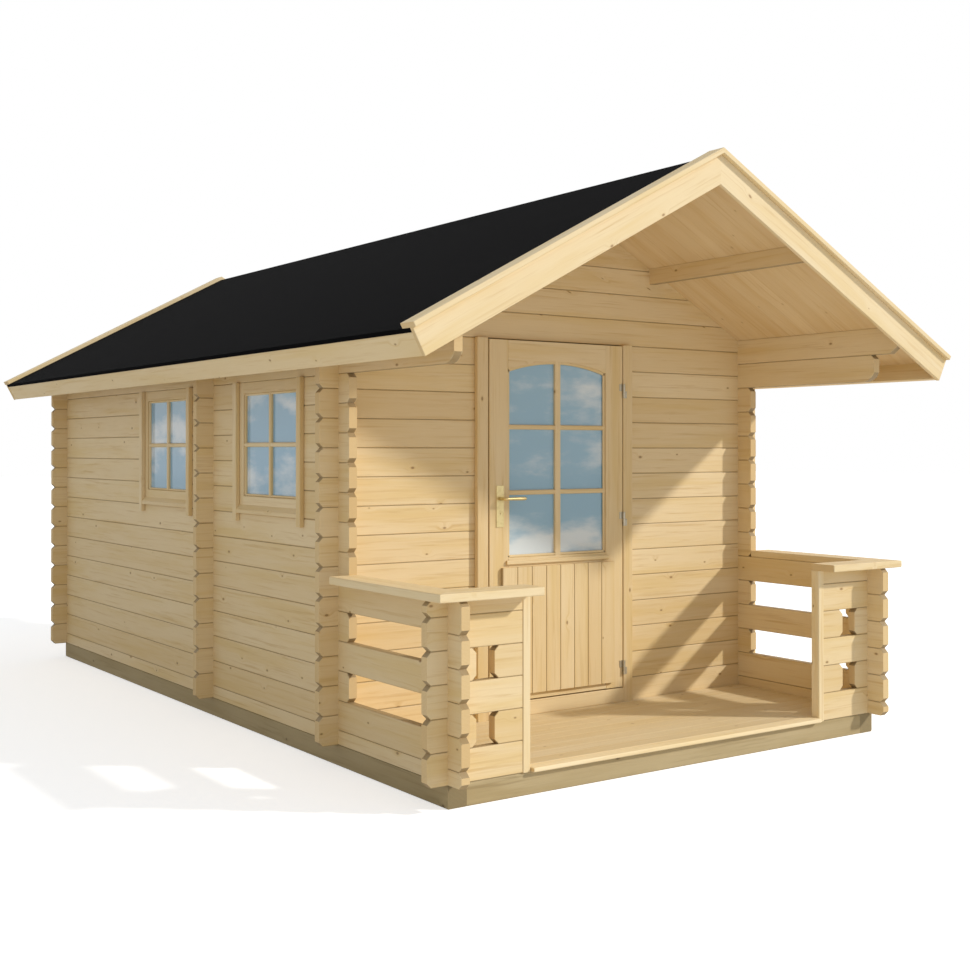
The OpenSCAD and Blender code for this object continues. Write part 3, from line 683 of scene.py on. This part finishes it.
piece("left_side_rail_logs", side_rail(-SIDE_X), ["left_side_rail"])
piece("right_side_rail_logs", side_rail(SIDE_X), ["right_side_rail"])
piece("left_front_rail_logs", front_rail(-1), ["left_front_rail"])
piece("right_front_rail_logs", front_rail(1), ["right_front_rail"])
lo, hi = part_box("entrance_posts")
posts, POST_W = Stack(), 0.038
for x0 in (lo.x, hi.x - POST_W):
    beam(posts, (x0, lo.y, lo.z), (x0 + POST_W, hi.y, hi.z), 2, ("post", x0), 0.003)
piece("entrance_post_pair", posts, ["entrance_posts"], finish=PALE)

# %% [markdown]
# ## Handrails
# Each handrail is two flat boards that meet in a mitre over the corner.


# %% Handrails
def handrail(side, node):
    lo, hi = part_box(node)
    thick, inner_y, outer = hi.z - lo.z, RAIL_Y + LOG_T / 2, max(abs(lo.x), abs(hi.x))
    wide, mid = outer - IN_X, (lo.z + hi.z) / 2
    stack, section = Stack(), board_section(wide, thick, 0.003)

    def along_side(s, a, b):
        front = inner_y - a
        return Vector((side * (IN_X + a), front + s * (WALL_TIP - front), mid + b))

    def along_front(s, a, b):
        return Vector((side * (PANEL_X - POST_W + s * (IN_X + a - PANEL_X + POST_W)), inner_y - a, mid + b))

    stack.add(section, [(0, 0, 0), (0.997, 0, 0), (1, 0.002, 0.002)], along_side, ("cap side", side))
    stack.add(section, [(0, 0.002, 0.002), (0.006, 0, 0), (1, 0, 0)], along_front, ("cap front", side))
    piece(node + "_boards", stack, [node], finish=PALE)


handrail(-1, "left_handrail")
handrail(1, "right_handrail")

# %% [markdown]
# ## Roof
# Purlins carry boards that run from ridge to eaves, and those show as the porch's ceiling. Barge boards close
# the gable ends, cover boards lie over the edges of the felt, and a board closes the eaves.


# %% Purlins
def purlin(stack, x, z0, key):
    def place(s, a, b):
        return Vector((x + b, s, min(z0 + a, roof_z(x + b) - ROOF_SEAM)))
    height = RIDGE_Z - z0 if x == 0 else roof_z(abs(x) - LOG_T / 2) - z0
    section = log_section(height, groove=0.003, levels=(height * 0.6, height * 0.8))
    stack.add(section, [(DECK_Y0, 0, 0), (DECK_Y1, 0, 0)], place, key)


ridge, pair = Stack(), Stack()
purlin(ridge, 0, span("ridge_purlin", 2)[0], "ridge")
for x in (-1, 1):
    purlin(pair, x * (span("side_purlins", 0)[1] - LOG_T / 2), span("side_purlins", 2)[0], ("purlin", x))
piece("ridge_purlin_beam", ridge, ["ridge_purlin"])
piece("side_purlin_pair", pair, ["side_purlins"])

# %% Slopes of the roof
COVER_RIDGE = span("front_cover_boards", 2)[1]
COVER_T, FELT_T, DECK_T, BARGE_W, EAVES_T = 0.022, 0.003, 0.018, 0.118, 0.018
ROOF_BOARD_W = 0.1
ROOF_RUN = cad_hi.x / math.cos(PITCH)


def slope_place(side, depth, y0):
    """Puts (down the slope, along Y, out of the slope) in the frame.

    depth is measured under the top of the cover boards.
    """
    def place(s, a, b):
        n = -depth + b
        start = -n * SLOPE if s <= 0 else s
        return Vector((side * (start * math.cos(PITCH) + n * math.sin(PITCH)), y0 + a,
                       COVER_RIDGE - start * math.sin(PITCH) + n * math.cos(PITCH)))
    return place


def down_slope(stack, side, top, bottom, run, y0, y1, key, bevel=0.002, joint=0.0):
    """A board from the ridge to the eaves on one slope, lying flat or on edge."""
    stations = [(0, 0, 0), (run - 0.002, 0, 0), (run, 0.0015, 0.0015)]
    stack.add(board_section(y1 - y0, bottom - top, bevel, joint), stations,
              slope_place(side, (top + bottom) / 2, y0), key)


# %% Roof boards, barge boards and cover boards
for side, node in ((-1, "left_roof_boards"), (1, "right_roof_boards")):
    deck = Stack()
    count = round((DECK_Y1 - DECK_Y0) / ROOF_BOARD_W)
    width = (DECK_Y1 - DECK_Y0) / count
    for k in range(count):
        down_slope(deck, side, COVER_T + FELT_T, COVER_T + FELT_T + DECK_T, ROOF_RUN - FELT_T - EAVES_T,
                   DECK_Y0 + k * width, DECK_Y0 + (k + 1) * width, (node, k), 0.0006, 0.12)
    piece(node + "_row", deck, [node], finish=CEILING)
for node, top, bottom in (("front_barge_boards", COVER_T, COVER_T + BARGE_W),
                          ("rear_barge_boards", COVER_T, COVER_T + BARGE_W),
                          ("front_cover_boards", 0, COVER_T), ("rear_cover_boards", 0, COVER_T)):
    pairs, (y0, y1) = Stack(), span(node, 1)
    for side in (-1, 1):
        down_slope(pairs, side, top, bottom, ROOF_RUN, y0, y1, (node, side), 0.002)
    piece(node.removesuffix("_boards") + "_pair", pairs, [node], finish=PALE)

# %% Eaves boards
closers = Stack()
for side in (-1, 1):
    def place(s, a, b, side=side):
        n, run = -COVER_T - BARGE_W + a + 0.0001, ROOF_RUN - FELT_T - EAVES_T / 2 + b
        return Vector((side * (run * math.cos(PITCH) + n * math.sin(PITCH)), s,
                       COVER_RIDGE - run * math.sin(PITCH) + n * math.cos(PITCH)))
    section = board_section(BARGE_W - FELT_T, EAVES_T, 0.002)
    closers.add(section, [(DECK_Y0, 0, 0), (DECK_Y1, 0, 0)], place, ("eaves", side))
piece("eaves_board_pair", closers, ["eaves_boards"], finish=PALE)

# %% [markdown]
# ## Carried-over nodes
# The felt, the glass panes, the hinges and the lock plates already have their right shape in the frame. They
# stay, with finishes of their own, and small parts get a rounded edge from a bevel modifier.


# %% Finishes for carried-over nodes
def carry(node, material, bevel=0.0):
    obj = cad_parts[node]
    obj.data.materials.clear()
    obj.data.materials.append(material)
    for polygon in obj.data.polygons:
        polygon.material_index = 0
    if bevel:
        edge = obj.modifiers.new("edges", "BEVEL")
        edge.width, edge.segments, edge.limit_method = bevel, 2, "ANGLE"
    print(node, "carried over as", material.name)


carry("roofing_felt", FELT)
carry("window_glass", SKY_PAINTED_GLASS)
carry("door_glass", SKY_PAINTED_GLASS)
carry("hinge_pins", ZINC, 0.0006)
carry("hinge_barrels", ZINC, 0.0006)
carry("lock_plates", BRASS, 0.0008)

# %% [markdown]
# ## Windows
# Each window is a frame in the thickness of the logs, with glazing bars that divide the pane in four. Outside
# it has a casing board on each side and a sloping sill.

# %% Window frames and bars
frames, casings = Stack(), Stack()
LEFT_FACE = -OUT_X
GLASS_LIP, BEAD, BEAD_INSET, OPEN_HALF = 0.008, 0.012, 0.007, 0.295
pane_z0, pane_z1 = span("window_glass", 2)[0] + GLASS_LIP, span("window_glass", 2)[1] - GLASS_LIP
SASH = WIN_HALF - OPEN_HALF
for n, y in enumerate(WIN_Y):
    x0, x1 = LEFT_FACE, LEFT_FACE + LOG_T
    bead0, bead1 = x0 + BEAD_INSET, x1 - BEAD_INSET
    for s in (-1, 1):
        a, b = sorted((y + s * WIN_HALF, y + s * (WIN_HALF - SASH)))
        beam(frames, (x0, a, WIN_FOOT), (x1, b, WIN_HEAD), 2, ("win side", n, s), 0.002)
        a, b = sorted((y + s * (WIN_HALF - SASH), y + s * (WIN_HALF - SASH - BEAD)))
        beam(frames, (bead0, a, pane_z0), (bead1, b, pane_z1), 2, ("win bead", n, s), 0.004)
    reach = WIN_HALF - SASH
    beam(frames, (x0, y - reach, pane_z1), (x1, y + reach, WIN_HEAD), 1, ("win head", n), 0.002)
    beam(frames, (x0, y - reach, WIN_FOOT), (x1, y + reach, pane_z0), 1, ("win foot", n), 0.002)
    beam(frames, (bead0, y - reach, pane_z1 - BEAD), (bead1, y + reach, pane_z1), 1,
         ("win bead up", n), 0.004)
    beam(frames, (bead0, y - reach, pane_z0), (bead1, y + reach, pane_z0 + BEAD), 1,
         ("win bead low", n), 0.004)
    middle_z = (pane_z0 + pane_z1) / 2
    beam(frames, (x0 + 0.004, y - 0.0125, pane_z0), (x1 - 0.004, y + 0.0125, pane_z1), 2,
         ("win bar", n), 0.005)
    beam(frames, (x0 + 0.005, y - reach, middle_z - 0.011), (x1 - 0.005, y + reach, middle_z + 0.011), 1,
         ("win bar across", n), 0.005)
piece("window_frame_pair", frames, ["window_frames"])

# %% Window casings and sills
lo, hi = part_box("window_casings")
CASE_W = 0.042
for n, y in enumerate(WIN_Y):
    inner = WIN_HALF - 0.004
    for s in (-1, 1):
        a, b = sorted((y + s * inner, y + s * (inner + CASE_W)))
        beam(casings, (lo.x, a, lo.z), (hi.x, b, hi.z), 2, ("casing", n, s), 0.003)
    proud = hi.x - lo.x
    section = [(0, 0, 0), (0.044, 0, 0), (0.022, -0.9 * proud + 0.002, 0), (0.019, -0.9 * proud, 0),
               (0.003, -0.9 * proud, 0), (0, -0.9 * proud + 0.003, 0)]
    casings.add(section, [(y - inner, 0, 0), (y + inner, 0, 0)],
                lambda s, a, b: Vector((LEFT_FACE + b, s, WIN_FOOT + a)), ("sill", n))
piece("window_casings_and_sills", casings, ["window_casings"])

# %% [markdown]
# ## Door frame
# The frame lines the opening in the logs and its stop catches the leaf from inside. Outside, a flat casing
# board stands on each side, flush with the leaf, and the sill lies between them.

# %% Door frame, casings and sill
lo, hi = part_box("door_frame")
jambs = Stack()
leaf_lo, leaf_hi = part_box("door_leaf")
gap = leaf_lo.x - span("door_sill", 0)[0]
jamb_t = span("door_sill", 0)[0] - lo.x
stop_y = leaf_hi.y + gap
sill_top = span("door_sill", 2)[1]
for s, x in ((1, lo.x), (-1, hi.x)):
    a, b = sorted((x, x + s * jamb_t))
    beam(jambs, (a, lo.y, lo.z), (b, hi.y, hi.z), 2, ("jamb", s), 0.002)
    a, b = sorted((x + s * jamb_t, x + s * (jamb_t + 0.015)))
    beam(jambs, (a, stop_y, sill_top), (b, hi.y, hi.z), 2, ("stop", s), 0.002)
beam(jambs, (lo.x + jamb_t, stop_y, leaf_hi.z - 0.015), (hi.x - jamb_t, hi.y, hi.z), 0, "stop head", 0.002)
piece("door_frame_boards", jambs, ["door_frame"])
lo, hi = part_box("door_casings")
cases = Stack()
for s, (a, b) in ((-1, (lo.x, span("door_sill", 0)[0])), (1, (span("door_sill", 0)[1], hi.x))):
    beam(cases, (a, lo.y, lo.z), (b, hi.y, hi.z), 2, ("door casing", s), 0.003)
piece("door_casing_pair", cases, ["door_casings"])
lo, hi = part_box("door_sill")
sill = Stack()
beam(sill, (lo.x, lo.y, span("porch_floor", 2)[1]), (hi.x, hi.y, hi.z), 0, "sill", 0.003)
beam(sill, (lo.x, span("door_frame", 1)[0], lo.z), (hi.x, hi.y, span("porch_floor", 2)[1]), 0,
     "sill foot", 0.001)
piece("door_sill_board", sill, ["door_sill"])

# %% [markdown]
# ## Door leaf
# Two stiles, an arched top rail and a broad lower part hold a pane with glazing bars: one upright and two
# across. Below the glass, a drip bar sheds rain over a row of upright boards.

# %% Leaf
leaf = Stack()
glass_lo, glass_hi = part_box("door_glass")
gx0, gx1 = glass_lo.x + GLASS_LIP, glass_hi.x - GLASS_LIP
gz0, gz1 = glass_lo.z + GLASS_LIP, glass_hi.z - GLASS_LIP
RISE, DOOR_BEAD, BAR_LOW, BAR_HIGH = 0.048, 0.013, 0.328, 0.660
half_w, mid_x = (gx1 - gx0) / 2, (gx0 + gx1) / 2
radius = (half_w ** 2 + RISE ** 2) / (2 * RISE)


def arch(x, grow=0.0):
    """Height of the arch over the glass at x."""
    return gz1 - radius + math.sqrt(max(0.0, (radius - grow) ** 2 - (x - mid_x) ** 2))


y0, y1 = leaf_lo.y, leaf_hi.y
beam(leaf, (leaf_lo.x, y0, leaf_lo.z), (gx0, y1, leaf_hi.z), 2, "stile lock", 0.002)
beam(leaf, (gx1, y0, leaf_lo.z), (leaf_hi.x, y1, leaf_hi.z), 2, "stile hinge", 0.002)
beam(leaf, (gx0, y0, leaf_lo.z), (gx1, y1, gz0), 0, "lower rail", 0.002)
steps = [gx0 + (gx1 - gx0) * i / 24 for i in range(25)]
leaf.outline([(gx0, leaf_hi.z)] + [(x, arch(x)) for x in steps] + [(gx1, leaf_hi.z)],
             y0 + 0.0005, y1 - 0.0005, "top rail", 0)
for d0, d1, key in ((0.007, 0.016, "out"), (0.024, 0.033, "in")):
    leaf.outline([(x, arch(x) + 0.001) for x in steps] + [(x, arch(x, DOOR_BEAD)) for x in reversed(steps)],
                 y0 + d0, y0 + d1, ("arch bead", key), 0)
    for a, b in ((gx0, gx0 + DOOR_BEAD), (gx1 - DOOR_BEAD, gx1)):
        beam(leaf, (a, y0 + d0, gz0), (b, y0 + d1, gz1 - RISE), 2, ("bead", a, key), 0.003)
    beam(leaf, (gx0, y0 + d0, gz0), (gx1, y0 + d1, gz0 + DOOR_BEAD), 0, ("bead low", key), 0.003)
bar_zs = [gz0 + (gz1 - gz0) * BAR_LOW, gz0 + (gz1 - gz0) * BAR_HIGH]
bar_x0, bar_x1 = mid_x - 0.0165, mid_x + 0.0165
leaf.outline([(bar_x0, gz0), (bar_x1, gz0), (bar_x1, arch(mid_x)), (bar_x0, arch(mid_x))],
             y0 + 0.005, y1 - 0.005, "bar up", 2)
for z in bar_zs:
    beam(leaf, (gx0, y0 + 0.006, z - 0.0115), (gx1, y1 - 0.006, z + 0.0115), 0, ("bar", z), 0.004)
panel_lo, panel_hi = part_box("door_panel")
beam(leaf, (panel_lo.x + 0.03, y0 - 0.012, panel_hi.z + 0.012),
     (panel_hi.x - 0.03, y0 + 0.002, panel_hi.z + 0.034), 0, "drip bar", 0.004)
piece("door_leaf_joinery", leaf, ["door_leaf"], body="door")

# %% Boarded panel
panel = Stack()
count = 8
width = (panel_hi.x - panel_lo.x) / count
for k in range(count):
    beam(panel, (panel_lo.x + k * width, panel_lo.y, panel_lo.z),
         (panel_lo.x + (k + 1) * width, panel_hi.y, panel_hi.z), 2, ("panel", k), 0.003, 0.85)
piece("door_panel_boards", panel, ["door_panel"], body="door")
print("panel boards", count, "each", round(width, 4))

# %% [markdown]
# ## Lever
# A lever is a neck that stands off the plate and a slim grip that turns towards the hinges. It is swept as
# rings along a path, because a real one is cast with no sharp corner. One is on each side of the leaf, and a
# spindle joins them.


# %% Sweep
def sweep(shape, path, radii, sides=20, squash=1.0):
    """Rings of corners along a path, closed at both ends."""
    rings = []
    for i, centre in enumerate(path):
        before, after = path[max(i - 1, 0)], path[min(i + 1, len(path) - 1)]
        ahead = (after - before).normalized()
        side = ahead.cross(Vector((0, 0, 1))).normalized()
        up = side.cross(ahead)
        rings.append([shape.verts.new(centre + radii[i] * (math.cos(t) * side + math.sin(t) * squash * up))
                      for t in (2 * math.pi * k / sides for k in range(sides))])
    for a, b in zip(rings, rings[1:]):
        for k in range(sides):
            shape.faces.new((a[k], a[(k + 1) % sides], b[(k + 1) % sides], b[k]))
    shape.faces.new(reversed(rings[0]))
    shape.faces.new(rings[-1])


def lever_path(x, y_leaf, y_out, z, reach):
    turn = 0.012 * (1 if y_out > y_leaf else -1)
    points = [Vector((x, y_leaf, z)), Vector((x, y_out - turn, z))]
    for k in range(1, 7):
        angle = math.pi / 2 * k / 6
        along = x + abs(turn) * (1 - math.cos(angle))
        points.append(Vector((along, y_out - turn + turn * math.sin(angle), z)))
    for share in (0.25, 0.5, 0.75, 0.93, 0.985, 1.0):
        points.append(Vector((x + 0.012 + (reach - 0.012) * share, y_out, z)))
    return points


lo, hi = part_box("door_lever")
plate_lo, plate_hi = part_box("lock_plates")
grip_r = (hi.z - lo.z) / 2
spindle_x, spindle_z = lo.x + grip_r, (lo.z + hi.z) / 2
reach = hi.x - spindle_x
shape = bmesh.new()
radii = [0.0085, 0.0075] + [0.0072] * 6 + [0.0075, 0.0082, 0.0086, 0.0082, 0.0064, 0.003]
for face_y, out_y in ((plate_lo.y, lo.y + grip_r), (plate_hi.y, hi.y - grip_r)):
    sweep(shape, lever_path(spindle_x, face_y, out_y, spindle_z, reach), radii)
SPINDLE_R = 0.005
spindle = [Vector((spindle_x, face_y, spindle_z)) for face_y in (plate_lo.y, plate_hi.y)]
sweep(shape, spindle, [SPINDLE_R, SPINDLE_R])
bmesh.ops.recalc_face_normals(shape, faces=shape.faces)
mesh = bpy.data.meshes.new("lever")
shape.to_mesh(mesh)
shape.free()
mesh.materials.append(BRASS)
mesh.shade_smooth()
lever = bpy.data.objects.new("lever_pair", mesh)
bpy.context.scene.collection.objects.link(lever)
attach(lever, "lever")
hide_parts("door_lever")
print("lever reaches", round(reach, 3))

# %% [markdown]
# ## Floor, light and camera
# A wide pale floor takes the shadow. One sun lamp, a little soft, comes from the front right and high enough
# for the roof to shade the upper part of the front wall, and a pale world fills the shaded side.

# %% Floor
floor_finish = Finish("pale_floor")
camera_ray = floor_finish.node("ShaderNodeLightPath", None, None, out=0)
diffuse = floor_finish.node("ShaderNodeBsdfDiffuse", None, {0: (0.9, 0.9, 0.9, 1)})
glow = floor_finish.node("ShaderNodeEmission", None, {0: (1, 1, 1, 1), 1: 0.50})
lifted = floor_finish.node("ShaderNodeAddShader", None, {0: diffuse, 1: glow})
shown = floor_finish.node("ShaderNodeMixShader", None, {0: camera_ray, 1: diffuse, 2: lifted})
floor_finish.tree.links.new(shown.socket, floor_finish.end.inputs["Surface"])
ground = bpy.data.meshes.new("ground")
FLOOR_HALF, FLOOR_Z = 60, -0.0005
corners = [(x * FLOOR_HALF, y * FLOOR_HALF, FLOOR_Z) for x, y in ((-1, -1), (1, -1), (1, 1), (-1, 1))]
ground.from_pydata(corners, [], [(0, 1, 2, 3)])
ground.materials.append(floor_finish.material)
floor = bpy.data.objects.new("floor", ground)
bpy.context.scene.collection.objects.link(floor)

# %% Lamps and world
sun = bpy.data.lights.new("sun", "SUN")
sun.energy, sun.angle, sun.color = 2.45, math.radians(3), (1.0, 0.97, 0.92)
lamp = bpy.data.objects.new("sun", sun)
lamp.rotation_euler = Vector((-1.39, 1.13, -1.03)).to_track_quat("-Z", "Y").to_euler()
bpy.context.scene.collection.objects.link(lamp)
world = bpy.data.worlds.new("pale_sky")
bpy.context.scene.world = world
world.use_nodes = True
sky = world.node_tree
sky.nodes.clear()
path = sky.nodes.new("ShaderNodeLightPath")
seen = sky.nodes.new("ShaderNodeMath")
seen.operation, seen.use_clamp = "ADD", True
more = sky.nodes.new("ShaderNodeMath")
more.operation, more.use_clamp = "ADD", True
sky.links.new(path.outputs["Is Camera Ray"], seen.inputs[0])
sky.links.new(path.outputs["Is Glossy Ray"], seen.inputs[1])
sky.links.new(seen.outputs[0], more.inputs[0])
sky.links.new(path.outputs["Is Transmission Ray"], more.inputs[1])
fill, white = sky.nodes.new("ShaderNodeBackground"), sky.nodes.new("ShaderNodeBackground")
fill.inputs[0].default_value, fill.inputs[1].default_value = (0.95, 0.975, 1.0, 1), 0.535
white.inputs[0].default_value, white.inputs[1].default_value = (1, 1, 1, 1), 1.0
both, end = sky.nodes.new("ShaderNodeMixShader"), sky.nodes.new("ShaderNodeOutputWorld")
sky.links.new(more.outputs[0], both.inputs[0])
sky.links.new(fill.outputs[0], both.inputs[1])
sky.links.new(white.outputs[0], both.inputs[2])
sky.links.new(both.outputs[0], end.inputs[0])

# %% Camera
view = bpy.data.cameras.new("camera")
view.sensor_width, view.lens, view.shift_y = 36.0, 49.50, -0.0468
camera = bpy.data.objects.new("camera", view)
camera.location = (-4.1708, -6.846, 1.4197)
camera.rotation_euler = (math.radians(90 + 0.41), 0, math.radians(-34.98))
bpy.context.scene.collection.objects.link(camera)
bpy.context.scene.camera = camera
bpy.context.scene.view_settings.view_transform = "Standard"
